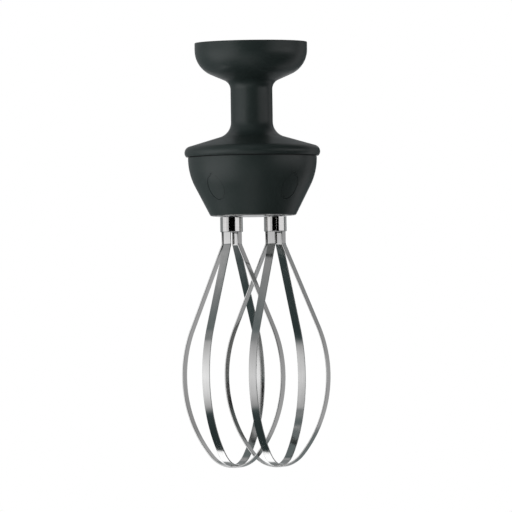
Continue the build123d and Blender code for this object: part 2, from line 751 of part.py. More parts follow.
def strip_loop(at, azimuth, tip):
    """One bent strip: both legs and the tip between them, as wide as the strip in the third direction."""
    outside = strip_line(tip, STRIP_T / 2)
    inside = strip_line(tip, -STRIP_T / 2)
    ends = [Line(outside[0] @ 0, inside[0] @ 0), Line(outside[-1] @ 1, inside[-1] @ 1)]
    half = make_face(outside + inside + ends)
    leg = extrude(Plane.XZ * half, STRIP_W / 2, both=True)
    loop = leg + mirror(leg, Plane.YZ)
    return Pos(at[0], at[1], 0) * Rot(0, 0, azimuth) * loop


def outer_loop(at, turn):
    """The loop that passes under the other at the tip."""
    return strip_loop(at, turn, -LOOP_TIP + STRIP_T / 2)


def inner_loop(at, turn):
    """The loop that crosses over the other at the tip, lifted clear of its curve."""
    lift = STRIP_T + STRIP_W**2 / (8 * LOOP_TIP_ROUND) + PRESS_GAP
    return strip_loop(at, turn + 90, -LOOP_TIP + STRIP_T / 2 + lift)


nodes = {
    "upper_housing": upper_housing(),
    "gear_case": gear_case(),
    "case_gasket": case_gasket(),
    "case_screws": case_screws(),
    "screw_plugs": screw_plugs(),
    "gear_plate": gear_plate(),
    "gear_plate_screws": gear_plate_screws(),
    "bottom_plate": bottom_plate(),
    "bottom_plate_screws": bottom_plate_screws(),
    "upper_shaft_bush": upper_shaft_bush(),
    "lower_shaft_bush": lower_shaft_bush(),
    "drive_seal": drive_seal(),
    "drive_coupling": drive_coupling(),
    "coupling_pin": coupling_pin(),
    "drive_shaft": drive_shaft(),
    "shaft_clip": shaft_clip(),
    "drive_pinion": drive_pinion(),
    "idler_gear": idler_gear(),
    "idler_axle": idler_axle(),
}
whisks = [("left", LEFT_AT, left_phase, LEFT_TURN), ("right", RIGHT_AT, right_phase, RIGHT_TURN)]
for side, at, phase, turn in whisks:
    nodes[f"{side}_upper_bush"] = spindle_upper_bush(at)
    nodes[f"{side}_lower_bush"] = spindle_lower_bush(at)
    nodes[f"{side}_spindle_seal"] = spindle_seal(at)
    nodes[f"{side}_spindle"] = whisk_spindle(at)
    nodes[f"{side}_whisk_gear"] = whisk_gear(at, phase)
    nodes[f"{side}_whisk_hub"] = whisk_hub(at, turn)
    nodes[f"{side}_ferrule"] = whisk_ferrule(at)
    nodes[f"{side}_outer_loop"] = outer_loop(at, turn)
    nodes[f"{side}_inner_loop"] = inner_loop(at, turn)

os.makedirs("parts", exist_ok=True)
for name, shape in nodes.items():
    export_step(shape, f"parts/{name}.step")
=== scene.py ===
import math

import bmesh
import bpy
from mathutils import Matrix, Vector


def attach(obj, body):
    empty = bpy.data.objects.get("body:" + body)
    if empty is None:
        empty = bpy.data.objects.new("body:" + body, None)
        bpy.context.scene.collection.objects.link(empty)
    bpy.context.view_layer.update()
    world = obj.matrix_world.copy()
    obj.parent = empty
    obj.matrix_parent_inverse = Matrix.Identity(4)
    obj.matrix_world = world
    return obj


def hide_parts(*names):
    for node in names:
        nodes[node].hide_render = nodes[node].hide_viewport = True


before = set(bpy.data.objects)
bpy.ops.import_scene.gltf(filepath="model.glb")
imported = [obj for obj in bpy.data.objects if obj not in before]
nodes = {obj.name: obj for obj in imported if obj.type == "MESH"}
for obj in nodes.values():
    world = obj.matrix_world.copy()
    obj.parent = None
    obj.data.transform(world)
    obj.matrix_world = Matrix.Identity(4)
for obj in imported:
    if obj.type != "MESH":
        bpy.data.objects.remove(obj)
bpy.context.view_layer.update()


# Upper housing, gear case and oval caps
# Collar, neck and flange are one moulding in black glass-filled nylon, and the bowl under it another.
# Four oval caps of the same plastic close the screw wells. All come from spark-eroded moulds.

def linear(code):
    """An sRGB hex colour as linear RGBA."""
    parts = [int(code[i:i + 2], 16) / 255 for i in (1, 3, 5)]
    return [p / 12.92 if p <= 0.04045 else ((p + 0.055) / 1.055) ** 2.4 for p in parts] + [1.0]


def add(tree, kind, values=None, links=None, **settings):
    """Adds a node with its settings, the values of its inputs and the sockets that feed them."""
    made = tree.nodes.new(kind)
    for name, value in settings.items():
        setattr(made, name, value)
    for name, value in (values or {}).items():
        made.inputs[name].default_value = value
    for name, socket in (links or {}).items():
        tree.links.new(socket, made.inputs[name])
    return made


def finish(name, **sockets):
    """A new material with its shader's own sockets set, as (material, tree, shader)."""
    made = bpy.data.materials.new(name)
    made.use_nodes = True
    shader = made.node_tree.nodes["Principled BSDF"]
    for socket, value in sockets.items():
        shader.inputs[socket.replace("_", " ")].default_value = value
    return made, made.node_tree, shader


def dress(material, *names):
    """Puts a material on CAD nodes that keep their own shape."""
    for name in names:
        nodes[name].material_slots[0].material = material


# Glass-filled nylon from a spark-eroded mould: a satin black with a fine pebbled grain of about 0.5 mm,
# slightly greyer and duller in clouds where it has been handled and washed.
plastic, tree, shader = finish("satin_black_nylon", IOR=1.53)
place = add(tree, "ShaderNodeTexCoord").outputs["Object"]
pebble = add(tree, "ShaderNodeTexNoise", {"Scale": 1000 / 0.5, "Detail": 2.0}, {"Vector": place})
handled = add(
    tree, "ShaderNodeTexNoise", {"Scale": 1000 / 22, "Detail": 5.0, "Roughness": 0.6}, {"Vector": place}
)
flow = add(tree, "ShaderNodeMapping", {"Scale": (1.0, 1.0, 0.25)}, {"Vector": place})
streak = add(tree, "ShaderNodeTexNoise", {"Scale": 1000 / 4, "Detail": 3.0}, {"Vector": flow.outputs[0]})
black = add(
    tree, "ShaderNodeMix", {6: linear("#1c2524"), 7: linear("#272f2e")}, {0: handled.outputs[0]},
    data_type="RGBA",
)
worn = add(
    tree, "ShaderNodeMix", {7: linear("#212a28")}, {0: streak.outputs[0], 6: black.outputs[2]},
    data_type="RGBA",
)
satin = add(
    tree, "ShaderNodeMapRange", {"From Min": 0.3, "From Max": 0.7, "To Min": 0.34, "To Max": 0.46},
    {"Value": handled.outputs[0]},
)
grain = add(tree, "ShaderNodeBump", {"Strength": 0.35, "Distance": 0.00002}, {"Height": pebble.outputs[0]})
tree.links.new(worn.outputs[2], shader.inputs["Base Color"])
tree.links.new(satin.outputs[0], shader.inputs["Roughness"])
tree.links.new(grain.outputs[0], shader.inputs["Normal"])
dress(plastic, "upper_housing", "gear_case", "screw_plugs")


# Gasket and shaft seals
# The flat ring in the joint under the flange, the seal round the coupling and one round each spindle.
# They are pressed from black nitrile rubber and sit in their grooves.

# Nitrile rubber, moulded: matt and nearly black, with a dusty bloom in patches of 3 mm.
rubber, tree, shader = finish("matt_nitrile_rubber", IOR=1.52)
place = add(tree, "ShaderNodeTexCoord").outputs["Object"]
bloom = add(tree, "ShaderNodeTexNoise", {"Scale": 1000 / 3, "Detail": 4.0}, {"Vector": place})
dust = add(tree, "ShaderNodeTexNoise", {"Scale": 1000 / 0.3, "Detail": 2.0}, {"Vector": place})
dark = add(
    tree, "ShaderNodeMix", {6: linear("#141515"), 7: linear("#232424")}, {0: bloom.outputs[0]},
    data_type="RGBA",
)
matt = add(tree, "ShaderNodeMapRange", {"To Min": 0.62, "To Max": 0.85}, {"Value": bloom.outputs[0]})
skin = add(tree, "ShaderNodeBump", {"Strength": 0.4, "Distance": 0.00003}, {"Height": dust.outputs[0]})
tree.links.new(dark.outputs[2], shader.inputs["Base Color"])
tree.links.new(matt.outputs[0], shader.inputs["Roughness"])
tree.links.new(skin.outputs[0], shader.inputs["Normal"])
dress(rubber, "case_gasket", "drive_seal", "left_spindle_seal", "right_spindle_seal")


# Drive shaft, coupling, pinion, pins and spindles
# Turned and ground steel, hardened: the coupling takes the motor's hexagon in the socket's floor, and the
# shaft carries it down the neck. A cross pin and a spring clip hold them.

# Ground steel: bright, with fine grinding rings round the axis, drawn 0.4 mm apart so that they show.
ground, tree, shader = finish("ground_steel", Metallic=1.0)
place = add(tree, "ShaderNodeTexCoord").outputs["Object"]
rings = add(tree, "ShaderNodeMapping", {"Scale": (0.04, 0.04, 1.0)}, {"Vector": place})
wheel = add(tree, "ShaderNodeTexNoise", {"Scale": 1000 / 0.4, "Detail": 3.0}, {"Vector": rings.outputs[0]})
oil = add(tree, "ShaderNodeTexNoise", {"Scale": 1000 / 7, "Detail": 4.0}, {"Vector": place})
bright = add(
    tree, "ShaderNodeMix", {6: linear("#a9abad"), 7: linear("#c9cacb")}, {0: wheel.outputs[0]},
    data_type="RGBA",
)
film = add(tree, "ShaderNodeMapRange", {"To Min": 0.2, "To Max": 0.42}, {"Value": oil.outputs[0]})
cut = add(tree, "ShaderNodeBump", {"Strength": 0.3, "Distance": 0.00001}, {"Height": wheel.outputs[0]})
tree.links.new(bright.outputs[2], shader.inputs["Base Color"])
tree.links.new(film.outputs[0], shader.inputs["Roughness"])
tree.links.new(cut.outputs[0], shader.inputs["Normal"])
dress(
    ground, "drive_shaft", "drive_coupling", "coupling_pin", "shaft_clip", "drive_pinion", "idler_axle",
    "left_spindle", "right_spindle",
)


# Bushes
# Two run the drive shaft and two each spindle. They are sintered bronze, pressed in and soaked with oil.

# Sintered bronze: a dull brown metal, speckled by its pores of about 0.3 mm.
bronze, tree, shader = finish("sintered_bronze", Metallic=1.0)
place = add(tree, "ShaderNodeTexCoord").outputs["Object"]
pores = add(tree, "ShaderNodeTexVoronoi", {"Scale": 1000 / 0.3}, {"Vector": place}).outputs["Distance"]
tarnish = add(tree, "ShaderNodeTexNoise", {"Scale": 1000 / 4, "Detail": 4.0}, {"Vector": place})
brown = add(
    tree, "ShaderNodeMix", {6: linear("#94703f"), 7: linear("#c09a63")}, {0: tarnish.outputs[0]},
    data_type="RGBA",
)
dull = add(tree, "ShaderNodeMapRange", {"To Min": 0.55, "To Max": 0.38}, {"Value": pores})
pitted = add(tree, "ShaderNodeBump", {"Strength": 0.4, "Distance": 0.00003}, {"Height": pores})
tree.links.new(brown.outputs[2], shader.inputs["Base Color"])
tree.links.new(dull.outputs[0], shader.inputs["Roughness"])
tree.links.new(pitted.outputs[0], shader.inputs["Normal"])
dress(
    bronze, "upper_shaft_bush", "lower_shaft_bush", "left_upper_bush", "right_upper_bush", "left_lower_bush",
    "right_lower_bush",
)


# Gear plate
# A round die-cast aluminium plate under the flange. It holds the upper ends of the shafts, on three screws.

# Die-cast aluminium: pale grey with flow marks of about 6 mm and a sandy skin.
cast, tree, shader = finish("die_cast_aluminium", Metallic=1.0)
place = add(tree, "ShaderNodeTexCoord").outputs["Object"]
marks = add(
    tree, "ShaderNodeTexNoise", {"Scale": 1000 / 6, "Detail": 5.0, "Distortion": 1.2}, {"Vector": place}
)
sand = add(tree, "ShaderNodeTexNoise", {"Scale": 1000 / 0.4, "Detail": 2.0}, {"Vector": place})
pale = add(
    tree, "ShaderNodeMix", {6: linear("#b3b4b5"), 7: linear("#d6d7d8")}, {0: marks.outputs[0]},
    data_type="RGBA",
)
sandy = add(tree, "ShaderNodeMapRange", {"To Min": 0.4, "To Max": 0.6}, {"Value": sand.outputs[0]})
rough = add(tree, "ShaderNodeBump", {"Strength": 0.3, "Distance": 0.00004}, {"Height": sand.outputs[0]})
tree.links.new(pale.outputs[2], shader.inputs["Base Color"])
tree.links.new(sandy.outputs[0], shader.inputs["Roughness"])
tree.links.new(rough.outputs[0], shader.inputs["Normal"])
dress(cast, "gear_plate")


# Idler and whisk gears
# Moulded acetal gears: the idler steps the pinion's speed down, and the whisk gears mesh with each other,
# so the whisks turn in opposite directions.

# Acetal, moulded: an ivory plastic, waxy, with a film of grease in patches of 5 mm.
acetal, tree, shader = finish("ivory_acetal", IOR=1.48)
place = add(tree, "ShaderNodeTexCoord").outputs["Object"]
grease = add(tree, "ShaderNodeTexNoise", {"Scale": 1000 / 5, "Detail": 4.0}, {"Vector": place})
ivory = add(
    tree, "ShaderNodeMix", {6: linear("#d9d3c1"), 7: linear("#e9e4d5")}, {0: grease.outputs[0]},
    data_type="RGBA",
)
waxy = add(tree, "ShaderNodeMapRange", {"To Min": 0.25, "To Max": 0.5}, {"Value": grease.outputs[0]})
smear = add(tree, "ShaderNodeBump", {"Strength": 0.2, "Distance": 0.00005}, {"Height": grease.outputs[0]})
tree.links.new(ivory.outputs[2], shader.inputs["Base Color"])
tree.links.new(waxy.outputs[0], shader.inputs["Roughness"])
tree.links.new(smear.outputs[0], shader.inputs["Normal"])
dress(acetal, "idler_gear", "left_whisk_gear", "right_whisk_gear")


# Screws
# Four pull the gear case up to the flange, three hold the gear plate and two the bottom plate.
# They are cold-headed steel with a zinc coat.

# Zinc-plated steel: a bluish grey that shifts towards straw in patches of 1.5 mm.
zinc, tree, shader = finish("zinc_plated_steel", Metallic=1.0)
place = add(tree, "ShaderNodeTexCoord").outputs["Object"]
spangle = add(tree, "ShaderNodeTexNoise", {"Scale": 1000 / 1.5, "Detail": 3.0}, {"Vector": place})
tint = add(
    tree, "ShaderNodeMix", {6: linear("#a3a9b3"), 7: linear("#c3bfae")}, {0: spangle.outputs[0]},
    data_type="RGBA",
)
coat = add(tree, "ShaderNodeMapRange", {"To Min": 0.25, "To Max": 0.45}, {"Value": spangle.outputs[0]})
plated = add(tree, "ShaderNodeBump", {"Strength": 0.15, "Distance": 0.00003}, {"Height": spangle.outputs[0]})
tree.links.new(tint.outputs[2], shader.inputs["Base Color"])
tree.links.new(coat.outputs[0], shader.inputs["Roughness"])
tree.links.new(plated.outputs[0], shader.inputs["Normal"])
dress(zinc, "case_screws", "gear_plate_screws", "bottom_plate_screws")


# Bottom plate
# A stamped stainless steel disc that closes the bowl from below, let into it, on two countersunk screws.

# Brushed stainless steel: straight grain along X, drawn 0.35 mm apart so that it shows.
brushed, tree, shader = finish("brushed_stainless_plate", Metallic=1.0)
place = add(tree, "ShaderNodeTexCoord").outputs["Object"]
belt = add(tree, "ShaderNodeMapping", {"Scale": (0.02, 1.0, 1.0)}, {"Vector": place})
grit = add(tree, "ShaderNodeTexNoise", {"Scale": 1000 / 0.35, "Detail": 3.0}, {"Vector": belt.outputs[0]})
steel = add(
    tree, "ShaderNodeMix", {6: linear("#b9b9b7"), 7: linear("#d9d9d7")}, {0: grit.outputs[0]},
    data_type="RGBA",
)
lined = add(tree, "ShaderNodeMapRange", {"To Min": 0.24, "To Max": 0.44}, {"Value": grit.outputs[0]})
score = add(tree, "ShaderNodeBump", {"Strength": 0.3, "Distance": 0.00001}, {"Height": grit.outputs[0]})
tree.links.new(steel.outputs[2], shader.inputs["Base Color"])
tree.links.new(lined.outputs[0], shader.inputs["Roughness"])
tree.links.new(score.outputs[0], shader.inputs["Normal"])
dress(brushed, "bottom_plate")


# Whisk hubs
# A turned steel plug on each spindle's end, with four slots that hold the ends of the strips.

# Turned steel: grey, with tool marks round the axis, drawn 0.5 mm apart so that they show.
turned, tree, shader = finish("turned_steel", Metallic=1.0)
place = add(tree, "ShaderNodeTexCoord").outputs["Object"]
rings = add(tree, "ShaderNodeMapping", {"Scale": (0.1, 0.1, 1.0)}, {"Vector": place})
tool = add(tree, "ShaderNodeTexNoise", {"Scale": 1000 / 0.5, "Detail": 2.0}, {"Vector": rings.outputs[0]})
grey = add(
    tree, "ShaderNodeMix", {6: linear("#86888a"), 7: linear("#aeb0b1")}, {0: tool.outputs[0]},
    data_type="RGBA",
)
lathe = add(tree, "ShaderNodeMapRange", {"To Min": 0.3, "To Max": 0.5}, {"Value": tool.outputs[0]})
ridge = add(tree, "ShaderNodeBump", {"Strength": 0.3, "Distance": 0.00002}, {"Height": tool.outputs[0]})
tree.links.new(grey.outputs[2], shader.inputs["Base Color"])
tree.links.new(lathe.outputs[0], shader.inputs["Roughness"])
tree.links.new(ridge.outputs[0], shader.inputs["Normal"])
dress(turned, "left_whisk_hub", "right_whisk_hub")


# Whisk strips
# Four flat stainless strips with burnished edges, each bent into a loop. Two crossed loops make a whisk:
# the ends are wedged between hub and ferrule, and at the tip the outer loop passes under the inner one.
MM = 0.001
WHISK_AXIS = 13.125
STRIP_WIDTH, STRIP_THICKNESS, STRIP_EDGE = 5.0, 0.8, 0.22
SEAT_RADIUS, TAB_TOP, TAB_FOOT = 5.3, -105.6, -120.6
BEND_RADIUS, SPREAD = 2.4, math.radians(24)
WIDEST_RADIUS, WIDEST_LEVEL = 33.8, -200.3
TIP_LEVEL, TIP_RADIUS = -254.8, 21.0
TIP_GAP = 0.02
INNER_LIFT = STRIP_THICKNESS + STRIP_WIDTH**2 / (8 * TIP_RADIUS) + TIP_GAP
EDGE_SEGMENTS, TAB_STEPS, RUN_STEPS, SHOULDER_STEPS, BELLY_STEPS, TIP_STEPS = 3, 8, 8, 24, 36, 32
SEAM_REACH, MIRROR_REACH = 0.0005, 0.01


def strip_steel(name, turn):
    """Stainless strip, rolled and polished along its length: bright, with fine lines drawn 0.45 mm apart so
    that they show. The loop lies in one upright plane, so the lines only vary across that plane."""
    made, tree, shader = finish(name, Metallic=1.0)
    place = add(tree, "ShaderNodeTexCoord").outputs["Object"]
    plane = add(tree, "ShaderNodeMapping", {"Rotation": (0, 0, -turn)}, {"Vector": place})
    along = add(tree, "ShaderNodeMapping", {"Scale": (0.012, 1.0, 0.012)}, {"Vector": plane.outputs[0]})
    lines = add(
        tree, "ShaderNodeTexNoise", {"Scale": 1000 / 0.45, "Detail": 3.0, "Roughness": 0.65},
        {"Vector": along.outputs[0]},
    )
    wipe = add(tree, "ShaderNodeTexNoise", {"Scale": 1000 / 9, "Detail": 4.0}, {"Vector": place})
    steel = add(
        tree, "ShaderNodeMix", {6: linear("#b4b4b2"), 7: linear("#dededc")}, {0: lines.outputs[0]},
        data_type="RGBA",
    )
    gloss = add(
        tree, "ShaderNodeMapRange", {"From Min": 0.3, "From Max": 0.7, "To Min": 0.06, "To Max": 0.15},
        {"Value": wipe.outputs[0]},
    )
    score = add(tree, "ShaderNodeBump", {"Strength": 0.3, "Distance": 0.00001}, {"Height": lines.outputs[0]})
    tree.links.new(steel.outputs[2], shader.inputs["Base Color"])
    tree.links.new(gloss.outputs[0], shader.inputs["Roughness"])
    tree.links.new(score.outputs[0], shader.inputs["Normal"])
    return made


def place_piece(mesh, name, material, node, body):
    """Closes a mesh's seams, makes it an object and lets it stand for its CAD node."""
    bmesh.ops.remove_doubles(mesh, verts=mesh.verts, dist=SEAM_REACH * MM)
    bmesh.ops.recalc_face_normals(mesh, faces=mesh.faces)
    for face in mesh.faces:
        face.smooth = True
    data = bpy.data.meshes.new(name)
    mesh.to_mesh(data)
    mesh.free()
    made = bpy.data.objects.new(name, data)
    bpy.context.scene.collection.objects.link(made)
    data.materials.append(material)
    weighted = made.modifiers.new("flat_faces", "WEIGHTED_NORMAL")
    weighted.weight = 100
    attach(made, body)
    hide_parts(node)


def run_on(mesh, section, offset):
    """Draws a strip's section out along a straight run and returns the new section."""
    drawn = bmesh.ops.extrude_edge_only(mesh, edges=section)["geom"]
    bmesh.ops.translate(mesh, verts=[g for g in drawn if isinstance(g, bmesh.types.BMVert)], vec=offset)
    return [g for g in drawn if isinstance(g, bmesh.types.BMEdge)]


def bend_on(mesh, section, centre, turn, steps):
    """Bends a strip's section round a centre in the loop's plane and returns the new section."""
    bent = bmesh.ops.spin(
        mesh, geom=section, cent=(centre[0] * MM, 0, centre[1] * MM), axis=(0, 1, 0), angle=turn, steps=steps
    )["geom_last"]
    return [g for g in bent if isinstance(g, bmesh.types.BMEdge)]


def strip_loop(name, side, turn, tip, material):
    """Bends one strip from its tab to its tip, mirrors it to a loop and sets it on its whisk's axis."""
    mesh = bmesh.new()
    corners = bmesh.ops.create_grid(mesh, x_segments=1, y_segments=1, size=0.5)["verts"]
    bmesh.ops.scale(mesh, verts=corners, vec=(STRIP_THICKNESS * MM, STRIP_WIDTH * MM, 1))
    bmesh.ops.bevel(
        mesh, geom=corners, offset=STRIP_EDGE * MM, affect="VERTICES", segments=EDGE_SEGMENTS, profile=0.5,
        material=-1,
    )
    bmesh.ops.delete(mesh, geom=mesh.faces[:], context="FACES_ONLY")
    bmesh.ops.translate(mesh, verts=mesh.verts, vec=(SEAT_RADIUS * MM, 0, TAB_TOP * MM))
    section = run_on(mesh, mesh.edges[:], (0, 0, (TAB_FOOT - TAB_TOP) * MM))
    section = bend_on(mesh, section, (SEAT_RADIUS + BEND_RADIUS, TAB_FOOT), -SPREAD, TAB_STEPS)
    # A straight run leads into the shoulder, whose radius follows from where the loop is widest.
    sin, cos = math.sin(SPREAD), math.cos(SPREAD)
    bend_r, bend_z = SEAT_RADIUS + BEND_RADIUS * (1 - cos), TAB_FOOT - BEND_RADIUS * sin
    across, down = WIDEST_RADIUS - bend_r, bend_z - WIDEST_LEVEL
    shoulder = (down * sin - across * cos) / (1 - cos)
    length = (down - shoulder * sin) / cos
    step = length / RUN_STEPS * MM
    for _ in range(RUN_STEPS):
        section = run_on(mesh, section, (step * sin, 0, -step * cos))
    section = bend_on(mesh, section, (WIDEST_RADIUS - shoulder, WIDEST_LEVEL), SPREAD, SHOULDER_STEPS)
    # Below the widest level one large round runs into the round of the tip.
    fall = WIDEST_LEVEL - tip
    belly = (WIDEST_RADIUS**2 + fall**2 - 2 * fall * TIP_RADIUS) / (2 * (WIDEST_RADIUS - TIP_RADIUS))
    tuck = math.atan2(fall - TIP_RADIUS, belly - WIDEST_RADIUS)
    section = bend_on(mesh, section, (WIDEST_RADIUS - belly, WIDEST_LEVEL), tuck, BELLY_STEPS)
    bend_on(mesh, section, (0, tip + TIP_RADIUS), math.pi / 2 - tuck, TIP_STEPS)
    half = mesh.verts[:] + mesh.edges[:] + mesh.faces[:]
    bmesh.ops.mirror(mesh, geom=half, axis="X", merge_dist=MIRROR_REACH * MM)
    bmesh.ops.holes_fill(mesh, edges=[edge for edge in mesh.edges if edge.is_boundary], sides=0)
    bmesh.ops.rotate(mesh, verts=mesh.verts, matrix=Matrix.Rotation(turn, 3, "Z"))
    bmesh.ops.translate(mesh, verts=mesh.verts, vec=(side * WHISK_AXIS * MM, 0, 0))
    body = "left_whisk" if side < 0 else "right_whisk"
    place_piece(mesh, f"{name}_strip", material, name, body)


for whisk, side, turn in (("left", -1, math.radians(-29)), ("right", 1, math.radians(-26))):
    for loop, across, lift in (("outer", turn, 0.0), ("inner", turn + math.pi / 2, INNER_LIFT)):
        steel = strip_steel(f"polished_strip_{whisk}_{loop}", across)
        strip_loop(f"{whisk}_{loop}_loop", side, across, TIP_LEVEL + lift, steel)


# Ferrules
# A drawn stainless tube over the end of each spindle. It is pressed on over the hub and clamps the strips.
FERRULE_RADIUS, FERRULE_WALL = 6.8, 0.5
FERRULE_TOP, FERRULE_FOOT = -104.8, -113.8
FERRULE_ROUND, FERRULE_EDGE = 0.4, 0.12
ROUND_SEGMENTS, FERRULE_STEPS = 6, 128

# Drawn and polished stainless steel: mirror bright, with faint polishing rings drawn 0.5 mm apart.
mirror, tree, shader = finish("polished_ferrule_steel", Metallic=1.0)
place = add(tree, "ShaderNodeTexCoord").outputs["Object"]
rings = add(tree, "ShaderNodeMapping", {"Scale": (0.06, 0.06, 1.0)}, {"Vector": place})
buff = add(tree, "ShaderNodeTexNoise", {"Scale": 1000 / 0.5, "Detail": 3.0}, {"Vector": rings.outputs[0]})
wipe = add(tree, "ShaderNodeTexNoise", {"Scale": 1000 / 4, "Detail": 4.0}, {"Vector": place})
steel = add(
    tree, "ShaderNodeMix", {6: linear("#c4c3c1"), 7: linear("#dddcda")}, {0: buff.outputs[0]},
    data_type="RGBA",
)
gloss = add(tree, "ShaderNodeMapRange", {"To Min": 0.05, "To Max": 0.15}, {"Value": wipe.outputs[0]})
score = add(tree, "ShaderNodeBump", {"Strength": 0.1, "Distance": 0.00001}, {"Height": buff.outputs[0]})
tree.links.new(steel.outputs[2], shader.inputs["Base Color"])
tree.links.new(gloss.outputs[0], shader.inputs["Roughness"])
tree.links.new(score.outputs[0], shader.inputs["Normal"])

for whisk, side in (("left", -1), ("right", 1)):
    mesh = bmesh.new()
    corners = bmesh.ops.create_grid(mesh, x_segments=1, y_segments=1, size=0.5)["verts"]
    bmesh.ops.scale(mesh, verts=corners, vec=(FERRULE_WALL * MM, (FERRULE_TOP - FERRULE_FOOT) * MM, 1))
    bmesh.ops.rotate(mesh, verts=corners, matrix=Matrix.Rotation(math.pi / 2, 3, "X"))
    middle = ((FERRULE_RADIUS - FERRULE_WALL / 2) * MM, 0, (FERRULE_TOP + FERRULE_FOOT) / 2 * MM)
    bmesh.ops.translate(mesh, verts=corners, vec=middle)
    foot = min(corners, key=lambda v: v.co.z - v.co.x)
    sharp = [v for v in corners if v is not foot]
    bmesh.ops.bevel(
        mesh, geom=[foot], offset=FERRULE_ROUND * MM, affect="VERTICES", segments=ROUND_SEGMENTS, profile=0.5,
        material=-1,
    )
    bmesh.ops.bevel(
        mesh, geom=sharp, offset=FERRULE_EDGE * MM, affect="VERTICES", segments=EDGE_SEGMENTS, profile=0.5,
        material=-1,
    )
    bmesh.ops.delete(mesh, geom=mesh.faces[:], context="FACES_ONLY")
    bmesh.ops.spin(
        mesh, geom=mesh.edges[:], cent=(0, 0, 0), axis=(0, 0, 1), angle=math.tau, steps=FERRULE_STEPS,
        use_merge=True,
    )
    bmesh.ops.translate(mesh, verts=mesh.verts, vec=(side * WHISK_AXIS * MM, 0, 0))
    name = f"{whisk}_ferrule"
    place_piece(mesh, f"{name}_tube", mirror, name, f"{whisk}_whisk")


# Studio
# A pale floor well below the head, a white sweep, soft lamps left, right and above, and curved grey and
# white cards that only the metal and the gloss of the plastic see. The camera looks up a little.
MIDDLE = Vector((0, 0, -0.13))
FLOOR_LEVEL, FLOOR_SIZE, FLOOR_GLOW = -0.7, 6, 0.62
AMBIENT = 0.25


def in_view(tree):
    """1 for rays straight from the camera, off a gloss or through glass, and 0 for all others."""
    path = add(tree, "ShaderNodeLightPath").outputs
    seen = add(tree, "ShaderNodeMath", None, {0: path["Is Camera Ray"], 1: path["Is Glossy Ray"]})
    shown = add(
        tree, "ShaderNodeMath", None, {0: seen.outputs[0], 1: path["Is Transmission Ray"]}, use_clamp=True
    )
    return shown.outputs[0]


floor_paint, tree, shader = finish("pale_floor", Roughness=0.9, Emission_Color=(1, 1, 1, 1))
place = add(tree, "ShaderNodeTexCoord").outputs["Object"]
mottle = add(tree, "ShaderNodeTexNoise", {"Scale": 1 / 0.4, "Detail": 3.0}, {"Vector": place})
pale = add(
    tree, "ShaderNodeMix", {6: linear("#ececec"), 7: linear("#f4f4f4")}, {0: mottle.outputs[0]},
    data_type="RGBA",
)
tree.links.new(pale.outputs[2], shader.inputs["Base Color"])
# In view the floor glows nearly white under its shadows, and from below it doesn't hide the head.
lift = add(tree, "ShaderNodeMapRange", {"To Min": 0.0, "To Max": FLOOR_GLOW}, {"Value": in_view(tree)})
tree.links.new(lift.outputs[0], shader.inputs["Emission Strength"])
under = add(tree, "ShaderNodeNewGeometry").outputs["Backfacing"]
clear = add(tree, "ShaderNodeBsdfTransparent")
sheet = add(tree, "ShaderNodeMixShader", None, {0: under, 1: shader.outputs[0], 2: clear.outputs[0]})
tree.links.new(sheet.outputs[0], tree.nodes["Material Output"].inputs["Surface"])
mesh = bmesh.new()
bmesh.ops.create_grid(mesh, x_segments=4, y_segments=4, size=FLOOR_SIZE)
bmesh.ops.translate(mesh, verts=mesh.verts, vec=(0, 0, FLOOR_LEVEL))
data = bpy.data.meshes.new("floor")
mesh.to_mesh(data)
mesh.free()
data.materials.append(floor_paint)
floor = bpy.data.objects.new("floor", data)
bpy.context.scene.collection.objects.link(floor)
floor.visible_glossy = False


NEAR, FAR = 0.5, 1.6
COOL_BASE, COOL_RISE, BLUE_GAIN = 0.66, 0.95, 1.02
CARD_STEPS_UP, CARD_STEPS_ROUND = 48, 24


def card(name, reach, left, right, *stops):
    """A curved card round the head between two azimuths from the camera's side, seen only in reflections.
    Each stop is an elevation and the glow that the card gives off there, from low to high: its bright
    stretches are painted light standing in for softboxes, and its dark ones are flags. Dark stretches glow a
    little cool, as in a dim studio."""
    made, tree, shader = finish(name)
    low, high, left, right = (math.radians(angle) for angle in (stops[0][0], stops[-1][0], left, right))
    place = add(tree, "ShaderNodeTexCoord").outputs["Object"]
    level = add(tree, "ShaderNodeSeparateXYZ", None, {0: place}).outputs["Z"]
    rise = add(
        tree, "ShaderNodeMapRange", {"From Min": MIDDLE.z - reach, "From Max": MIDDLE.z + reach},
        {"Value": level},
    )
    shade = add(tree, "ShaderNodeValToRGB", None, {0: rise.outputs[0]})
    ramp = shade.color_ramp.elements
    while len(ramp) < len(stops):
        ramp.new(1.0)
    for stop, (elevation, grey) in zip(ramp, stops):
        stop.position = (1 + math.sin(math.radians(elevation))) / 2
        red = grey * min(1.0, COOL_BASE + COOL_RISE * grey)
        stop.color = (red, grey, grey * BLUE_GAIN, 1)
    glow = add(tree, "ShaderNodeEmission", {"Strength": 1.0}, {"Color": shade.outputs[0]})
    tree.links.new(glow.outputs[0], tree.nodes["Material Output"].inputs["Surface"])
    mesh = bmesh.new()
    start = bmesh.ops.create_vert(mesh, co=(0, -reach * math.cos(low), reach * math.sin(low)))["vert"]
    bmesh.ops.spin(mesh, geom=start, cent=(0, 0, 0), axis=(-1, 0, 0), angle=high - low, steps=CARD_STEPS_UP)
    bmesh.ops.rotate(mesh, verts=mesh.verts, matrix=Matrix.Rotation(left, 3, "Z"))
    bmesh.ops.spin(
        mesh, geom=mesh.edges[:], cent=(0, 0, 0), axis=(0, 0, 1), angle=right - left, steps=CARD_STEPS_ROUND
    )
    bmesh.ops.translate(mesh, verts=mesh.verts, vec=MIDDLE)
    data = bpy.data.meshes.new(name)
    mesh.to_mesh(data)
    mesh.free()
    data.materials.append(made)
    sheet = bpy.data.objects.new(name, data)
    bpy.context.scene.collection.objects.link(sheet)
    sheet.visible_camera = sheet.visible_diffuse = sheet.visible_shadow = False


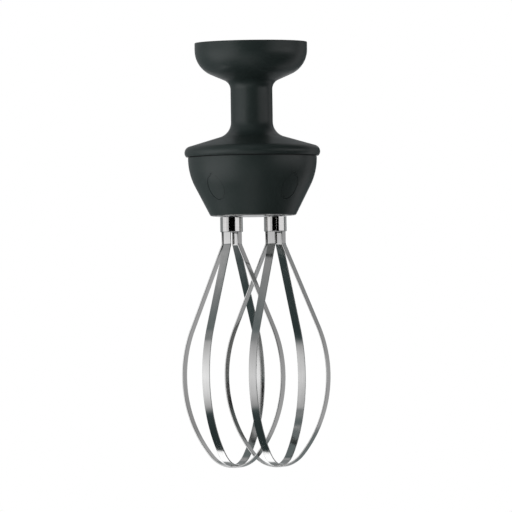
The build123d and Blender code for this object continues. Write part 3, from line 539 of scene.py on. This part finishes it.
# The softbox left of the camera falls off towards its back, its fold and its front edge.
SOFTBOX_BACK = (
    (-89, 0.045), (-50, 0.05), (-42, 0.07), (-38.5, 0.09), (-33, 0.58), (-25, 0.95), (-8, 1.2), (10, 0.92),
    (19, 0.68),
)
card(
    "left_softbox_back", NEAR, -97, -76, *SOFTBOX_BACK, (28, 0.28), (38, 0.36), (43, 0.46), (46, 0.42),
    (48.5, 0.25), (53, 0.2), (89, 0.2),
)
card(
    "left_softbox_fold", NEAR, -76, -67.6, *SOFTBOX_BACK, (28, 0.26), (34, 0.19), (36, 0.22), (37.2, 0.33),
    (39.5, 0.54), (41.5, 0.54), (43.2, 0.22), (89, 0.2),
)
card(
    "left_softbox", NEAR, -67.6, -54.5, (-89, 0.045), (-50, 0.05), (-42, 0.06), (-38.5, 0.09), (-35.5, 0.32),
    (-33, 0.58), (-25, 0.95), (-17, 1.15), (-8, 1.3), (1, 1.15), (10, 0.92), (18, 0.7), (22.5, 0.6),
    (24.5, 0.3), (30.5, 0.32), (34, 0.22), (39, 0.17), (41, 0.32), (43.5, 0.4), (46, 0.4), (50, 0.25),
    (89, 0.2),
)
card(
    "left_softbox_edge", NEAR, -54.5, -31, (-89, 0.045), (-50, 0.05), (-42, 0.07), (-38.5, 0.1), (-34, 0.45),
    (-25, 0.75), (-8, 0.95), (1, 0.85), (10, 0.72), (19, 0.55), (28, 0.33), (34, 0.25), (38, 0.2), (44, 0.33),
    (50, 0.2), (89, 0.3),
)
# Dark flags in front and a strip light on the right give the ferrules their black and white bands.
card(
    "black_flag_front", NEAR, -31, 12, (-89, 0.35), (-40, 0.35), (-20, 0.3), (-8, 0.25), (-4, 0.15),
    (-1, 0.0), (24, 0.0), (32, 0.2), (89, 0.3),
)
card("black_flag_right", FAR, 12, 38, (-89, 0.03), (-10, 0.0), (15, 0.0), (89, 0.1))
card(
    "right_strip_light", FAR, 38, 99, (-89, 0.02), (-9, 0.02), (-5, 1.05), (10, 1.05), (14, 0.02), (89, 0.06)
)
# The cards behind the head are mirrored by the outer loops, which stand at a slant, and at the tips.
card("right_grey", FAR, 99, 113, (-89, 0.08), (89, 0.1))
card(
    "right_back_light", FAR, 113, 136, (-89, 0.35), (-40, 0.44), (-20, 0.52), (0, 0.5), (20, 0.38), (89, 0.3)
)
card(
    "back_right_grey", FAR, 136, 165, (-89, 0.3), (-30, 0.24), (-16, 0.2), (-8, 0.12), (14, 0.12), (24, 0.5),
    (50, 0.5), (89, 0.3),
)
card(
    "back_light", FAR, 165, 195, (-89, 1.7), (-52, 1.7), (-46, 0.3), (-20, 0.3), (-12, 0.9), (8, 0.9),
    (20, 0.3), (89, 0.3),
)
card(
    "left_back_grey", FAR, 195, 275, (-89, 1.7), (-53, 1.7), (-49, 0.2), (-20, 0.25), (53, 0.45), (57, 0.2),
    (89, 0.2),
)


def soft_lamp(name, at, size, power):
    """A large square lamp that faces the head. The cards stand for it in reflections."""
    lamp = bpy.data.lights.new(name, "AREA")
    lamp.size = size
    lamp.energy = power
    made = bpy.data.objects.new(name, lamp)
    made.location = at
    made.rotation_euler = (MIDDLE - Vector(at)).to_track_quat("-Z", "Y").to_euler()
    made.visible_glossy = False
    bpy.context.scene.collection.objects.link(made)


soft_lamp("key_left", (-0.95, -1.15, 0.0), 0.9, 14.0)
soft_lamp("fill_right", (1.1, -0.6, 0.1), 0.8, 0.5)
soft_lamp("top_soft", (-0.5, 0.1, 1.0), 0.9, 1.6)

world = bpy.data.worlds.new("white_sweep")
bpy.context.scene.world = world
world.use_nodes = True
tree = world.node_tree
sweep = tree.nodes["Background"]
level = add(tree, "ShaderNodeMapRange", {"To Min": AMBIENT, "To Max": 1.0}, {"Value": in_view(tree)})
sweep.inputs["Color"].default_value = (1, 1, 1, 1)
tree.links.new(level.outputs[0], sweep.inputs["Strength"])

CAMERA_DISTANCE, CAMERA_LIFT, CAMERA_ROLL = 6.0, math.radians(-1.6), math.radians(0.84)
PICTURE_WIDTH, FAR_CLIP = 0.3072, 50
TARGET = Vector((0.0013, 0, -0.1283))
lens = bpy.data.cameras.new("camera")
lens.lens = lens.sensor_width * CAMERA_DISTANCE / PICTURE_WIDTH
lens.clip_end = FAR_CLIP
camera = bpy.data.objects.new("camera", lens)
back = Vector((0, -math.cos(CAMERA_LIFT), math.sin(CAMERA_LIFT)))
camera.rotation_mode = "QUATERNION"
roll = Matrix.Rotation(-CAMERA_ROLL, 3, "Z").to_quaternion()
camera.rotation_quaternion = (-back).to_track_quat("-Z", "Y") @ roll
camera.location = TARGET + back * CAMERA_DISTANCE
bpy.context.scene.collection.objects.link(camera)
bpy.context.scene.camera = camera
bpy.context.scene.view_settings.view_transform = "Standard"
